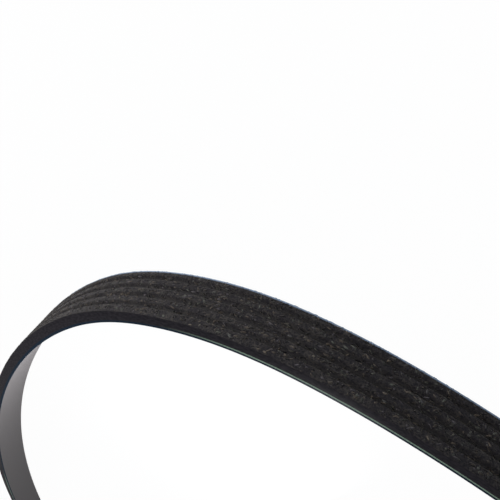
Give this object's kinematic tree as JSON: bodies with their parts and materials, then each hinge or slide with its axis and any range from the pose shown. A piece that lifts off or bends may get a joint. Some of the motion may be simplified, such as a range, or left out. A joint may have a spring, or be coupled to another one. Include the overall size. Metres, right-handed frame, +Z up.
{
  "type": "serpentine belt",
  "caption": "Endless ribbed rubber drive belt, lying on its cut side edge as a free open loop with its lengthwise ribs outwards and its smooth back inwards.",
  "frame": {"origin": "centre of the loop's bounding box, on the plane that the lower cut edge rests on", "axes": "+Z up across the belt's width; +X along the loop's longest extent; ribs face away from the loop's middle"},
  "size_m": [0.678, 0.4492, 0.0178],
  "materials": {
    "belt_rubber": "matt black rubber, the rib faces flocked with short fibres"
  },
  "bodies": {
    "root": {"belt": "belt_rubber"}
  },
  "joints": []
}
